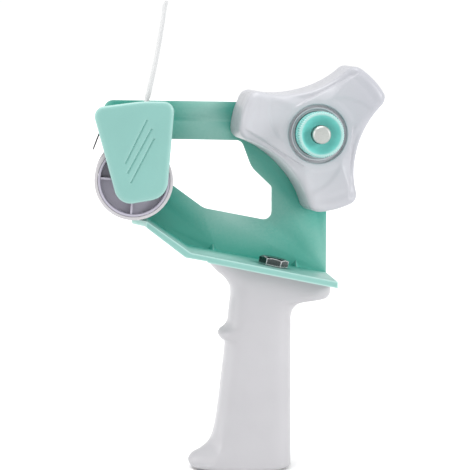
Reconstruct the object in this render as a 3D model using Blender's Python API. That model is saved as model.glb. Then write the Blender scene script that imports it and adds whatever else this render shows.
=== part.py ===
"""Hand-held packing-tape dispenser, built as separate solids.

Frame: +X towards the rear of the gun, +Y towards the side plate, +Z up.
The origin is the middle of the handle's flat foot. Dimensions are in mm.
"""
import math

import bpy
import bmesh
from mathutils import Matrix, Vector

for old in list(bpy.data.objects):
    bpy.data.objects.remove(old, do_unlink=True)

MM = 0.001
GAP = 0.3                     # clearance left between pieces that touch

# ---- side plate and base flange -------------------------------------------
PLATE_Y = 24.5                # inner face of the side plate
PLATE_T = 3.0
PLATE_BACK = PLATE_Y + PLATE_T
FLANGE_Y = -21.5              # free edge of the base flange
SEAT_SLOPE = -0.2055          # fall of the handle seat towards the rear
SEAT_TOP = (-24.8, 110.2)     # top of the seat where the front ramp begins
SEAT_THICK = 3.2
GUSSET = 3.2                  # height of the two stiffeners in the corner
GUSSET_HALF = 2.3             # and half their width

# ---- guard and bridge ------------------------------------------------------
GUARD_OUT = -29.5
GUARD_IN = -27.0
BRIDGE_BOTTOM = 169.5
BRIDGE_TOP = 180.6
BRIDGE_REAR = -47.7
BRIDGE_END = PLATE_Y - GAP

# ---- blade -----------------------------------------------------------------
BLADE_TIP = (-71.8, 160.6)
BLADE_UP = Vector((0.367, 0.0, 0.930)).normalized()
BLADE_LEN = 19.3
BLADE_T = 0.6
BLADE_HALF = 23.5
TOOTH_PITCH = 2.0
TOOTH_DEPTH = 1.5
BLADE_SCREW_S = 14.8
BLADE_SCREW_Y = 10.0

# ---- wiper flap ------------------------------------------------------------
FLAP_PIVOT = (-47.5, 176.0)
FLAP_DIR = Vector((0.1998, 0.0, 0.9798)).normalized()
FLAP_LEN = 56.8
FLAP_HALF = 22.0
BEAD_R = 1.5
BEAD_GROOVE_R = 1.6
FLAP_SWING = 24.0             # half angle of the mouth the flap swings in
CLAMP_X = (-47.3, -43.8)
CLAMP_Y = 23.0
CLAMP_SCREW_Y = 12.0
CLAMP_SCREW_Z = 172.1

# ---- roller ----------------------------------------------------------------
ROLLER = (-52.4, 145.5)
ROLLER_R = 19.0
SLEEVE_T = 1.6
CORE_WALL = 1.2
ROLLER_FRONT = -25.0
ROLLER_BACK = 23.0
ROLLER_PIN_R = 3.0
SPOKE_T = 1.0
SPOKE_ANGLE = 85.0
SPOKE_END = 21.0
WEB_Y = (-20.0, -18.2)           # the web that carries the boss, just behind the spokes' front edge

# ---- tape hub --------------------------------------------------------------
HUB = (37.0, 167.8)
HUB_R = 38.0                  # fits a 76 mm tape core
HUB_WAIST = 21.0
HUB_FLANK_R = 46.0
HUB_CORNER = 5.0              # rounds the lobes' corners
HUB_LOBE = 44.0               # angle of the first lobe
HUB_COLUMNS = 120             # points round the outline
HUB_FRONT = -22.0
HUB_BACK = 23.0
HUB_WALL = 2.2
HUB_EDGE = 4.0
HUB_FLARE = 1.6               # the rear rim is this much further out than the front
CUP_R = 14.3
CUP_STEP = 2.0                # depth of the groove round the knob
COLLAR_R = (13.1, 12.1)       # a collar stands inside the groove
COLLAR_STEP = 0.9
COLLAR_BACK = 1.8             # depth of the step between the collar and the knob
CUP_BORE = 11.2
DISC_R = 10.9                 # friction disc
CUP_FLOOR = -11.0
JOURNAL_R = 6.0
RUNNING = 0.08                # radial clearance of a turning fit
THREAD_R = 4.35

# ---- tension stack ---------------------------------------------------------
KNOB_R = 11.2
KNOB_NECK = 10.9
KNOB_FRONT = -36.0
KNOB_GRIP = -28.0             # the toothed rim runs from here to the front
KNOB_REAR = -17.0
KNOB_TEETH = 60
AXLE_FRONT = -38.5

# ---- handle ----------------------------------------------------------------
GRIP_HALF = 14.5
GRIP_POWER = 3.2
GRIP_MID_X = 9.0
BOLT_X = 17.2
BOLT_HEAD = 4.3
GRIP_FRONT = [(0.0, -20.0), (1.2, -24.0), (4.0, -25.5), (6.8, -24.0), (9.5, -19.4),
              (13.0, -15.4), (17.5, -13.1), (23.0, -11.9), (33.0, -10.4),
              (44.0, -9.1), (56.5, -7.6), (62.5, -7.1), (64.5, -7.6), (66.0, -9.5),
              (67.8, -10.4), (69.6, -9.6), (71.2, -7.3), (74.3, -5.6), (79.5, -5.0),
              (84.5, -4.4), (87.0, -4.1), (90.5, -4.3), (94.0, -5.8), (97.0, -8.3),
              (99.5, -11.3), (101.6, -13.3), (106.0, -16.3)]
GRIP_BACK = [(0.0, 22.0), (0.8, 24.6), (2.2, 26.0), (69.0, 26.0), (76.0, 26.0),
             (79.6, 26.8), (82.6, 29.4), (84.0, 34.0), (84.8, 41.0), (85.6, 44.1),
             (88.0, 45.8), (90.0, 46.1), (106.0, 46.1)]

MINT = (0.30, 0.60, 0.54)
WHITE = (0.70, 0.70, 0.74)
GRIP_GREY = (0.66, 0.65, 0.68)
STEEL = (0.62, 0.62, 0.64)
BRASS = (0.72, 0.55, 0.25)


# ---- helpers ---------------------------------------------------------------
def paint(obj, colour, metal=0.0, rough=0.45):
    mat = bpy.data.materials.new(obj.name)
    mat.use_nodes = True
    shader = mat.node_tree.nodes["Principled BSDF"]
    shader.inputs["Base Color"].default_value = (*colour, 1.0)
    shader.inputs["Metallic"].default_value = metal
    shader.inputs["Roughness"].default_value = rough
    obj.data.materials.clear()
    obj.data.materials.append(mat)


def body(name, verts, faces):
    mesh = bpy.data.meshes.new(name)
    mesh.from_pydata([tuple(c * MM for c in v) for v in verts], [], faces)
    bm = bmesh.new()
    bm.from_mesh(mesh)
    bmesh.ops.remove_doubles(bm, verts=bm.verts, dist=1e-6)
    bmesh.ops.recalc_face_normals(bm, faces=bm.faces)
    bm.to_mesh(mesh)
    bm.free()
    obj = bpy.data.objects.new(name, mesh)
    bpy.context.collection.objects.link(obj)
    return obj


def loft(name, rings, closed=False):
    """Skin a row of equal-length rings; closed joins the last to the first."""
    n = len(rings[0])
    verts = [p for ring in rings for p in ring]
    faces = []
    spans = len(rings) if closed else len(rings) - 1
    for i in range(spans):
        a = i * n
        b = ((i + 1) % len(rings)) * n
        for k in range(n):
            m = (k + 1) % n
            faces.append((a + k, a + m, b + m, b + k))
    if not closed:
        faces.append(tuple(range(n))[::-1])
        faces.append(tuple(range(len(verts) - n, len(verts))))
    return body(name, verts, faces)


def turned(name, profile, origin, axis=(0, 1, 0), n=32, closed=False, phase=0.0):
    """Turn (radius, distance) pairs about an axis through origin."""
    axis = Vector(axis).normalized()
    side = axis.orthogonal().normalized()
    up = axis.cross(side)
    rings = []
    for r, d in profile:
        ring = []
        for k in range(n):
            t = phase + 2 * math.pi * k / n
            p = Vector(origin) + axis * d + side * (r * math.cos(t)) + up * (r * math.sin(t))
            ring.append(tuple(p))
        rings.append(ring)
    return loft(name, rings, closed)


def rounded(corners, steps=6):
    """Polygon from (x, z, radius) corners, each radius turned into an arc."""
    out = []
    count = len(corners)
    for i in range(count):
        x, z, r = corners[i]
        p = Vector((x, z))
        a = (Vector(corners[i - 1][:2]) - p).normalized()
        b = (Vector(corners[(i + 1) % count][:2]) - p).normalized()
        if r <= 0:
            out.append((x, z))
            continue
        half = math.acos(max(-1, min(1, a.dot(b)))) / 2
        run = r / math.tan(half)
        start = p + a * run
        end = p + b * run
        centre = p + (a + b).normalized() * (r / math.sin(half))
        t0 = math.atan2(start.y - centre.y, start.x - centre.x)
        t1 = math.atan2(end.y - centre.y, end.x - centre.x)
        turn = (t1 - t0 + math.pi) % (2 * math.pi) - math.pi
        for k in range(steps + 1):
            t = t0 + turn * k / steps
            out.append((centre.x + r * math.cos(t), centre.y + r * math.sin(t)))
    return out


def inset(points, d):
    """Move each point of a counter-clockwise outline inwards by d."""
    out = []
    n = len(points)
    for i in range(n):
        p = Vector(points[i])
        a = (p - Vector(points[i - 1])).normalized()
        b = (Vector(points[(i + 1) % n]) - p).normalized()
        na = Vector((-a.y, a.x))
        nb = Vector((-b.y, b.x))
        m = (na + nb).normalized()
        out.append(tuple(p + m * (d / max(0.5, m.dot(na)))))
    return out


def prism(name, points, y0, y1):
    return loft(name, [[(x, y, z) for x, z in points] for y in (y0, y1)])


def block(name, x0, x1, y0, y1, z0, z1):
    return prism(name, [(x0, z0), (x1, z0), (x1, z1), (x0, z1)], y0, y1)


def combine(target, tool, operation):
    """Apply one exact Boolean and drop the tool."""
    mod = target.modifiers.new("bool", "BOOLEAN")
    mod.solver = "EXACT"
    mod.operation = operation
    mod.object = tool
    graph = bpy.context.evaluated_depsgraph_get()
    mesh = bpy.data.meshes.new_from_object(target.evaluated_get(graph))
    target.modifiers.clear()
    target.data = mesh
    bpy.data.objects.remove(tool, do_unlink=True)


def cut(target, tool):
    combine(target, tool, "DIFFERENCE")


def join(target, tool):
    combine(target, tool, "UNION")


def set_pivot(obj, x, y, z):
    shift = Vector((x, y, z)) * MM
    obj.data.transform(Matrix.Translation(-shift))
    obj.location = shift


def soften(obj, angle=35.0):
    obj.data.shade_smooth()
    obj.data.set_sharp_from_angle(angle=math.radians(angle))


def screw(name, origin, axis, shank_r, length, head_r, head_h, gap=GAP):
    """Pan-head screw. The axis points from the head into the work."""
    prof = [(head_r * 0.75, -head_h - gap), (head_r, -head_h * 0.6 - gap), (head_r, -gap),
            (shank_r, -gap), (shank_r, length - 0.8), (shank_r * 0.5, length)]
    obj = turned(name, prof, origin, axis, 14)
    slot_dir = Vector(axis).normalized()
    base = Vector(origin) - slot_dir * (head_h + gap)
    hexa = [(head_r * 0.42, -0.5), (head_r * 0.42, head_h * 0.55)]
    cut(obj, turned("drive", hexa, tuple(base), axis, 6))
    soften(obj)
    paint(obj, STEEL, 1.0, 0.3)
    return obj


def station(table, z):
    """Smooth value of a (z, x) table at height z."""
    if z <= table[0][0]:
        return table[0][1]
    if z >= table[-1][0]:
        return table[-1][1]
    i = max(k for k in range(len(table) - 1) if table[k][0] <= z)
    (z0, x0), (z1, x1) = table[i], table[i + 1]
    t = (z - z0) / (z1 - z0)
    return x0 + (x1 - x0) * t


def seat_top(x):
    return SEAT_TOP[1] + SEAT_SLOPE * (x - SEAT_TOP[0])


def seat_under(x):
    return seat_top(x) - SEAT_THICK


SEAT_NORMAL = Vector((-SEAT_SLOPE, 0.0, 1.0)).normalized()
BOLT_BASE = Vector((BOLT_X, 0.0, seat_top(BOLT_X)))


# ---- side frame ------------------------------------------------------------
def make_side_frame():
    outline = rounded([
        (-52.6, 122.8, 2.0), (-46.8, 122.8, 2.0), (-27.3, 107.6, 4.0),
        (47.2, seat_under(47.2), 0.8), (47.4, 182.5, 14.0), (-67.2, 184.2, 4.5),
        (-63.0, 150.0, 20.0), (-61.0, 130.0, 6.0)])
    frame = prism("side_frame", outline, PLATE_Y, PLATE_BACK)
    strip = [(-53.0, 122.8), (-46.8, 122.9), (-27.5, 107.9), (-16.8, 105.9), (-16.6, seat_under(-16.6)),
             (47.2, seat_under(47.2)), (47.2, seat_top(47.2)), SEAT_TOP, (-46.1, 125.7), (-53.0, 125.3)]
    flange = prism("flange", strip, FLANGE_Y, PLATE_Y + 1.0)
    plan = [(-60.0, -26.0), (-45.6, -26.0), (-47.5, -16.0), (-51.0, -5.0), (-54.6, 8.0), (-56.5, 18.0),
            (-60.0, 18.0)]
    cut(flange, loft("corner", [[(x, y, z) for x, y in plan] for z in (115.0, 130.0)]))
    join(frame, flange)
    for gx in (-11.3, 31.4):
        rings = []
        for side, size in ((-1.0, 0.1), (0.0, 1.0), (1.0, 0.1)):
            x = gx + side * GUSSET_HALF
            low, tall = seat_top(x) - 1.0, GUSSET * size
            rings.append([(x, PLATE_Y + 0.5, low), (x, PLATE_Y + 0.5, seat_top(x) + tall),
                          (x, PLATE_Y - 0.2 * size, seat_top(x) + tall - 0.2 * size),
                          (x, PLATE_Y - tall, seat_top(x) + 0.1 * size), (x, PLATE_Y - tall, low)])
        join(frame, loft("rib", rings))
    window = rounded([
        (-38.5, 145.6, 4.0), (-15.9, 128.9, 9.0), (18.9, 122.0, 4.0), (18.9, 139.7, 2.5),
        (8.6, 149.6, 12.0), (3.4, 163.5, 4.0), (-38.5, 164.3, 4.0)])
    cut(frame, prism("window", window, PLATE_Y - 5.0, PLATE_BACK + 5.0))
    cut(frame, turned("hole", [(4.35, -5.0), (4.35, 8.0)], (HUB[0], PLATE_Y, HUB[1])))
    cut(frame, turned("hole", [(3.3, -5.0), (3.3, 8.0)], (ROLLER[0], PLATE_Y, ROLLER[1])))
    for x, z in GUARD_SCREWS:
        cut(frame, turned("hole", [(1.8, -5.0), (1.8, 8.0)], (x, PLATE_Y, z), n=20))
    cut(frame, turned("hole", [(4.3, -8.0), (4.3, 4.0)], tuple(BOLT_BASE), tuple(SEAT_NORMAL)))
    soften(frame)
    paint(frame, MINT)


# ---- handle ----------------------------------------------------------------
def make_handle():
    heights = sorted({z for z, _ in GRIP_FRONT} | {z for z, _ in GRIP_BACK} | {27.0, 38.5, 50.0})
    rings = []
    n = 28
    for z in heights:
        front = GRIP_MID_X - station(GRIP_FRONT, z)
        back = station(GRIP_BACK, z) - GRIP_MID_X
        half = GRIP_HALF - 1.6 * max(0.0, 1.0 - z / 2.2)
        ring = []
        for k in range(n):
            t = 2 * math.pi * k / n
            c, s = math.cos(t), math.sin(t)
            reach = back if c >= 0 else front
            x = GRIP_MID_X + reach * math.copysign(abs(c) ** (2 / GRIP_POWER), c)
            y = half * math.copysign(abs(s) ** (2 / GRIP_POWER), s)
            ring.append((x, y, z))
        rings.append(ring)
    handle = loft("handle", rings)
    top = [(-60.0, seat_under(-60.0) - GAP), (80.0, seat_under(80.0) - GAP), (80.0, 140.0), (-60.0, 140.0)]
    cut(handle, prism("top", top, -40.0, 40.0))
    cut(handle, block("core", -1.0, 7.0, -9.0, 9.0, 12.0, 130.0))
    axis = tuple(-SEAT_NORMAL)
    cut(handle, turned("bore", [(6.3, -4.0), (6.3, 22.6)], tuple(BOLT_BASE), axis))
    cut(handle, turned("pilot", [(4.3, 20.0), (4.3, 30.0)], tuple(BOLT_BASE), axis))
    soften(handle, 50.0)
    paint(handle, GRIP_GREY)
    insert = turned("handle_insert", [(4.2, 4.2), (6.0, 4.2), (6.0, 22.2), (4.2, 22.2)],
                    tuple(BOLT_BASE), axis, 32, closed=True)
    soften(insert)
    paint(insert, BRASS, 1.0, 0.35)
    head = [(6.6, -BOLT_HEAD), (7.5, -BOLT_HEAD + 0.7), (7.5, -GAP)]
    bolt = turned("handle_bolt", head, tuple(BOLT_BASE), axis, 6)
    shank = turned("shank", [(3.9, -2.0), (3.9, 27.0), (3.2, 28.0)], tuple(BOLT_BASE), axis)
    join(bolt, shank)
    soften(bolt)
    paint(bolt, STEEL, 1.0, 0.18)


# ---- front guard with its cross bridge --------------------------------------
GUARD_SCREWS = [(-61.0, 176.0), (-54.3, 175.4)]


def blade_point(s, off, y):
    """Point s up the blade from its tip, off the blade's middle plane."""
    normal = Vector((0.930, 0.0, -0.367)).normalized()
    p = Vector((BLADE_TIP[0], y, BLADE_TIP[1])) + BLADE_UP * s + normal * off
    return tuple(p)


def flap_mouth():
    """Groove for the bead and the mouth above it."""
    x, z = FLAP_PIVOT
    groove = turned("groove", [(BEAD_GROOVE_R, -60.0), (BEAD_GROOVE_R, 60.0)], (x, 0.0, z), n=32)
    lean = math.atan2(FLAP_DIR.x, FLAP_DIR.z)
    half = math.radians(FLAP_SWING)
    pts = []
    for sign in (1, -1):
        t = lean + sign * half
        side = Vector((math.cos(t), -math.sin(t))) * 1.0 * sign
        far = Vector((math.sin(t), math.cos(t))) * 16.0
        near = Vector((x, z)) + side
        pts += [near, near + far] if sign == 1 else [near + far, near]
    mouth = prism("mouth", [tuple(p) for p in pts], -60.0, 60.0)
    join(groove, mouth)
    return groove


def make_front_guard():
    outline = rounded([
        (-59.7, 133.7, 8.0), (-36.7, 137.6, 9.5), (-32.6, 183.5, 5.0),
        (-48.0, 183.8, 60.0), (-72.3, 180.7, 5.0)], 8)
    rings = []
    for d, y in ((1.9, GUARD_OUT), (0.9, GUARD_OUT + 0.35), (0.0, GUARD_OUT + 1.3), (0.0, GUARD_IN)):
        rings.append([(x, y, z) for x, z in inset(outline, d)])
    guard = loft("front_guard", rings)
    lines = [((-45.6, 175.1), (-56.4, 153.6)), ((-43.4, 170.8), (-55.4, 148.9)),
             ((-42.3, 166.2), (-53.8, 144.3))]
    for (xa, za), (xb, zb) in lines:
        along = Vector((xb - xa, zb - za)).normalized()
        side = Vector((-along.y, along.x)) * 0.35
        a, b = Vector((xa, za)), Vector((xb, zb))
        quad = [tuple(a + side), tuple(b + side), tuple(b - side), tuple(a - side)]
        cut(guard, prism("line", quad, GUARD_OUT - 1.0, GUARD_OUT + 0.5))
    section = [(-67.6, BRIDGE_BOTTOM), (BRIDGE_REAR, BRIDGE_BOTTOM), (BRIDGE_REAR, BRIDGE_TOP),
               (-63.2, BRIDGE_TOP)]
    bridge = prism("bridge", section, GUARD_IN - 0.6, BRIDGE_END)
    mouth = flap_mouth()
    keep = block("keep", -80.0, -20.0, GUARD_IN, 70.0, 150.0, 230.0)
    combine(mouth, keep, "INTERSECT")
    cut(bridge, mouth)
    join(guard, bridge)
    for x, z in GUARD_SCREWS:
        cut(guard, turned("bore", [(1.5, -9.6), (1.5, 3.0)], (x, PLATE_Y, z), n=20))
    into = (0.930, 0.0, -0.367)
    for y in (-BLADE_SCREW_Y, BLADE_SCREW_Y):
        cut(guard, turned("bore", [(1.5, -3.0), (1.5, 6.2)], blade_point(BLADE_SCREW_S, 0, y), into, n=20))
    for y in (-CLAMP_SCREW_Y, CLAMP_SCREW_Y):
        spot = (BRIDGE_REAR, y, CLAMP_SCREW_Z)
        cut(guard, turned("bore", [(1.5, -3.0), (1.5, 6.0)], spot, (-1, 0, 0), n=20))
    soften(guard)
    paint(guard, MINT)
    for k, (x, z) in enumerate(GUARD_SCREWS):
        screw("guard_screw_%d" % (k + 1), (x, PLATE_BACK, z), (0, -1, 0), 1.2, 12.0, 3.0, 1.8)


def make_blade():
    pts = []
    teeth = int(2 * BLADE_HALF / TOOTH_PITCH)
    y0 = -teeth * TOOTH_PITCH / 2
    for k in range(teeth):
        pts.append((y0 + k * TOOTH_PITCH, TOOTH_DEPTH))
        pts.append((y0 + (k + 0.5) * TOOTH_PITCH, 0.0))
    pts.append((-y0, TOOTH_DEPTH))
    pts += [(-y0, BLADE_LEN), (y0, BLADE_LEN)]
    rings = [[blade_point(s, off, y) for y, s in pts] for off in (-BLADE_T / 2, BLADE_T / 2)]
    blade = loft("blade", rings)
    into = (0.930, 0.0, -0.367)
    for k, y in enumerate((-BLADE_SCREW_Y, BLADE_SCREW_Y)):
        cut(blade, turned("hole", [(1.5, -2.0), (1.5, 2.0)], blade_point(BLADE_SCREW_S, 0, y), into, n=20))
        screw("blade_screw_%d" % (k + 1), blade_point(BLADE_SCREW_S, -BLADE_T / 2, y), into,
              1.2, 5.6, 2.7, 1.3, 0.2)
    paint(blade, STEEL, 1.0, 0.25)


def make_flap():
    clamp = block("flap_clamp", CLAMP_X[0], CLAMP_X[1], -CLAMP_Y, CLAMP_Y, 169.8, BRIDGE_TOP)
    cut(clamp, flap_mouth())
    for k, y in enumerate((-CLAMP_SCREW_Y, CLAMP_SCREW_Y)):
        spot = (CLAMP_X[1], y, CLAMP_SCREW_Z)
        cut(clamp, turned("hole", [(1.5, -2.0), (1.5, 6.0)], spot, (-1, 0, 0), n=20))
        screw("clamp_screw_%d" % (k + 1), spot, (-1, 0, 0), 1.2, 8.6, 2.6, 1.4)
    soften(clamp)
    paint(clamp, MINT)
    side = Vector((FLAP_DIR.z, 0.0, -FLAP_DIR.x))
    left, right = [], []
    for k in range(13):
        s = FLAP_LEN * k / 12
        bow = 0.9 * math.sin(math.pi * k / 12)
        half = 0.75 - 0.25 * k / 12
        half += 0.35 * math.exp(-((k - 12) / 0.6) ** 2)
        mid = Vector((FLAP_PIVOT[0], 0.0, FLAP_PIVOT[1])) + FLAP_DIR * s + side * bow
        left.append(mid - side * half)
        right.append(mid + side * half)
    pts = [(p.x, p.z) for p in right] + [(p.x, p.z) for p in reversed(left)]
    flap = prism("wiper_flap", pts, -FLAP_HALF, FLAP_HALF)
    line = (FLAP_PIVOT[0], 0.0, FLAP_PIVOT[1])
    bead = turned("bead", [(BEAD_R, -FLAP_HALF), (BEAD_R, FLAP_HALF)], line, n=24)
    join(flap, bead)
    set_pivot(flap, FLAP_PIVOT[0], 0.0, FLAP_PIVOT[1])
    soften(flap)
    paint(flap, (0.78, 0.79, 0.80), 0.0, 0.35)


# ---- roller ----------------------------------------------------------------
def make_roller():
    x, z = ROLLER
    core_r = ROLLER_R - SLEEVE_T - 0.15
    inner = core_r - CORE_WALL
    bore = ROLLER_PIN_R + RUNNING
    core = turned("roller_core", [
        (inner, ROLLER_FRONT), (core_r, ROLLER_FRONT), (core_r, ROLLER_BACK), (inner, ROLLER_BACK),
        (inner, WEB_Y[1]), (5.0, WEB_Y[1]), (5.0, 22.0), (bore, 22.0), (bore, -21.5), (5.0, -21.5),
        (5.0, WEB_Y[0]), (inner, WEB_Y[0])], (x, 0.0, z), n=64, closed=True)
    rim = inner + 0.6
    spoke = [(4.3, -21.0), (6.8, -21.0), (7.0, -24.4), (rim, -24.4), (rim, SPOKE_END), (4.3, SPOKE_END)]
    for k in range(4):
        t = math.radians(SPOKE_ANGLE + 90.0 * k)
        along = Vector((math.cos(t), 0.0, math.sin(t)))
        across = Vector((-along.z, 0.0, along.x)) * (SPOKE_T / 2)
        hub_line = Vector((x, 0.0, z))
        sides = []
        for sign in (-1, 1):
            sides.append([tuple(hub_line + along * r + across * sign + Vector((0.0, y, 0.0)))
                          for r, y in spoke])
        join(core, loft("spoke", sides))
    set_pivot(core, x, 0.0, z)
    soften(core)
    paint(core, (0.45, 0.45, 0.50), 0.0, 0.5)
    sleeve = turned("roller_sleeve", [(core_r + 0.15, ROLLER_FRONT + 0.2), (ROLLER_R, ROLLER_FRONT + 0.2),
                                      (ROLLER_R, ROLLER_BACK), (core_r + 0.15, ROLLER_BACK)],
                    (x, 0.0, z), n=64, closed=True)
    set_pivot(sleeve, x, 0.0, z)
    soften(sleeve)
    paint(sleeve, (0.57, 0.55, 0.56), 0.0, 0.7)
    axle = turned("roller_axle", [(5.2, 30.0), (6.0, 29.4), (6.0, PLATE_BACK + GAP),
                                  (ROLLER_PIN_R, PLATE_BACK + GAP), (ROLLER_PIN_R, -23.6), (2.5, -24.2)],
                  (x, 0.0, z))
    soften(axle)
    paint(axle, STEEL, 1.0, 0.25)
    clip = turned("roller_clip", [(3.25, -23.0), (5.6, -23.0), (5.6, -22.0), (3.25, -22.0)],
                  (x, 0.0, z), closed=True)
    paint(clip, STEEL, 1.0, 0.3)


# ---- tape hub --------------------------------------------------------------
def hub_radius(t):
    """Outline radius at angle t: a circle with three hollow flanks and rounded corners."""
    far, hold, reach = HUB_WAIST + HUB_FLANK_R, HUB_R - HUB_CORNER, HUB_FLANK_R + HUB_CORNER
    turn = abs((math.degrees(t) - HUB_LOBE) % 120.0 - 60.0)
    d = math.radians(turn)                      # angle from the nearest flank's middle
    corner = math.acos((far ** 2 + hold ** 2 - reach ** 2) / (2 * far * hold))
    if d >= corner:
        return HUB_R
    share = HUB_FLANK_R / reach
    start = math.atan2(hold * math.sin(corner) * share, far + (hold * math.cos(corner) - far) * share)
    if d >= start:
        off = d - corner
        return hold * math.cos(off) + math.sqrt(HUB_CORNER ** 2 - (hold * math.sin(off)) ** 2)
    return far * math.cos(d) - math.sqrt(HUB_FLANK_R ** 2 - (far * math.sin(d)) ** 2)


def make_hub():
    n = HUB_COLUMNS
    angles = [2 * math.pi * k / n for k in range(n)]

    def ring(radius, y):
        return [(HUB[0] + radius(t) * math.cos(t), y, HUB[1] + radius(t) * math.sin(t)) for t in angles]

    outer = hub_radius
    rings = [ring(lambda t: outer(t) + HUB_FLARE, HUB_BACK), ring(outer, HUB_FRONT + HUB_EDGE)]
    for a in (30.0, 60.0, 90.0):
        off = HUB_EDGE * (1 - math.cos(math.radians(a)))
        y = HUB_FRONT + HUB_EDGE * (1 - math.sin(math.radians(a)))
        rings.append(ring(lambda t, off=off: outer(t) - off, y))
    rings += [ring(lambda t: CUP_R, HUB_FRONT), ring(lambda t: CUP_R, HUB_FRONT + CUP_STEP),
              ring(lambda t: COLLAR_R[0], HUB_FRONT + CUP_STEP),
              ring(lambda t: COLLAR_R[0], HUB_FRONT + COLLAR_STEP),
              ring(lambda t: COLLAR_R[1], HUB_FRONT + COLLAR_STEP),
              ring(lambda t: COLLAR_R[1], HUB_FRONT + COLLAR_BACK),
              ring(lambda t: CUP_BORE, HUB_FRONT + COLLAR_BACK), ring(lambda t: CUP_BORE, CUP_FLOOR),
              ring(lambda t: JOURNAL_R + RUNNING, CUP_FLOOR), ring(lambda t: JOURNAL_R + RUNNING, 20.4),
              ring(lambda t: 9.0, 20.4), ring(lambda t: 9.0, CUP_FLOOR + 2.2),
              ring(lambda t: 15.8, CUP_FLOOR + 2.2), ring(lambda t: 15.8, HUB_FRONT + 3.2)]
    rings += [ring(lambda t: outer(t) - HUB_WALL - 2.0, HUB_FRONT + 3.2),
              ring(lambda t: outer(t) - HUB_WALL, HUB_FRONT + 5.2),
              ring(lambda t: outer(t) + HUB_FLARE - HUB_WALL, HUB_BACK)]
    hub = loft("tape_hub", rings, closed=True)
    set_pivot(hub, HUB[0], 0.0, HUB[1])
    soften(hub, 40.0)
    paint(hub, WHITE, 0.0, 0.4)


def make_axle():
    origin = (HUB[0], 0.0, HUB[1])
    prof = [(3.4, 36.0), (4.0, 35.4), (4.0, PLATE_Y - GAP), (9.0, PLATE_Y - GAP), (9.0, 20.8),
            (JOURNAL_R, 20.8), (JOURNAL_R, -10.4), (THREAD_R, -10.4), (THREAD_R, AXLE_FRONT + 0.8),
            (THREAD_R - 0.9, AXLE_FRONT)]
    axle = turned("hub_axle", prof, origin, n=40)
    soften(axle)
    paint(axle, STEEL, 1.0, 0.3)
    washer = turned("axle_washer", [(4.3, 27.8), (8.0, 27.8), (8.0, 29.2), (4.3, 29.2)], origin, closed=True)
    paint(washer, STEEL, 1.0, 0.3)
    nut = turned("axle_nut", [(7.4, 29.5), (7.4, 34.5)], origin, n=6)
    cut(nut, turned("bore", [(4.3, 20.0), (4.3, 50.0)], origin))
    paint(nut, STEEL, 1.0, 0.3)


def make_tension():
    origin = (HUB[0], 0.0, HUB[1])
    disc = turned("friction_disc", [(6.6, -11.3), (6.6, -13.3), (DISC_R, -13.3), (DISC_R, -11.3)],
                  origin, closed=True)
    set_pivot(disc, HUB[0], 0.0, HUB[1])
    paint(disc, (0.12, 0.10, 0.10), 0.0, 0.9)
    press = turned("pressure_washer", [(4.65, -13.6), (4.65, -15.0), (10.8, -15.0), (10.8, -13.6)],
                   origin, closed=True)
    paint(press, STEEL, 1.0, 0.3)
    thrust = turned("thrust_washer", [(4.65, -23.2), (4.65, -24.4), (8.9, -24.4), (8.9, -23.2)],
                    origin, closed=True)
    set_pivot(thrust, HUB[0], 0.0, HUB[1])
    paint(thrust, STEEL, 1.0, 0.3)
    make_spring()
    n = KNOB_TEETH * 2
    rings = []
    profile = [(KNOB_NECK, KNOB_REAR, 0), (KNOB_NECK, KNOB_GRIP, 0), (KNOB_R, KNOB_GRIP - 0.4, 0.4),
               (KNOB_R, KNOB_FRONT + 0.8, 0.4), (KNOB_R - 0.7, KNOB_FRONT, 0.1), (9.5, KNOB_FRONT, 0),
               (9.0, KNOB_FRONT + 0.6, 0), (7.8, KNOB_FRONT + 2.1, 0), (6.2, KNOB_FRONT + 3.9, 0),
               (4.6, KNOB_FRONT + 4.5, 0), (4.5, -27.6, 0), (7.6, -27.6, 0), (7.6, -24.8, 0), (9.2, -24.8, 0),
               (9.2, KNOB_REAR, 0)]
    for r, y, notch in profile:
        rings.append([(HUB[0] + (r - notch * (k % 2)) * math.cos(2 * math.pi * k / n), y,
                       HUB[1] + (r - notch * (k % 2)) * math.sin(2 * math.pi * k / n)) for k in range(n)])
    knob = loft("tension_knob", rings, closed=True)
    set_pivot(knob, HUB[0], 0.0, HUB[1])
    paint(knob, MINT, 0.0, 0.35)
    insert = turned("knob_insert", [(7.2, -27.3), (7.2, -25.0)], origin, n=6)
    cut(insert, turned("bore", [(4.44, -40.0), (4.44, 0.0)], origin))
    set_pivot(insert, HUB[0], 0.0, HUB[1])
    paint(insert, BRASS, 1.0, 0.35)


def make_spring():
    wire, mean, turns, steps = 0.6, 7.2, 4.0, 16
    y0, y1 = -15.9, -22.3
    rings = []
    total = int(turns * steps)
    rise = (y1 - y0) / (2 * math.pi * turns)
    for k in range(total + 1):
        t = 2 * math.pi * k / steps
        centre = Vector((mean * math.cos(t), y0 + rise * t, mean * math.sin(t)))
        tangent = Vector((-mean * math.sin(t), rise, mean * math.cos(t))).normalized()
        out = Vector((math.cos(t), 0.0, math.sin(t)))
        up = tangent.cross(out)
        ring = []
        for j in range(6):
            a = 2 * math.pi * j / 6
            p = centre + out * (wire * math.cos(a)) + up * (wire * math.sin(a))
            ring.append((HUB[0] + p.x, p.y, HUB[1] + p.z))
        rings.append(ring)
    spring = loft("tension_spring", rings)
    soften(spring, 60.0)
    paint(spring, STEEL, 1.0, 0.3)


make_side_frame()
make_handle()
make_front_guard()
make_blade()
make_flap()
make_roller()
make_hub()
make_axle()
make_tension()
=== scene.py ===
"""Looks for a hand-held packing-tape dispenser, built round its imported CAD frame.

Frame: +X towards the rear of the gun, +Y towards the side plate, +Z up, origin at the
middle of the handle's foot. Lengths below are in mm unless a name says otherwise.
"""

import math

import bpy
import bmesh
from mathutils import Matrix, Vector
from mathutils.kdtree import KDTree


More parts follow.
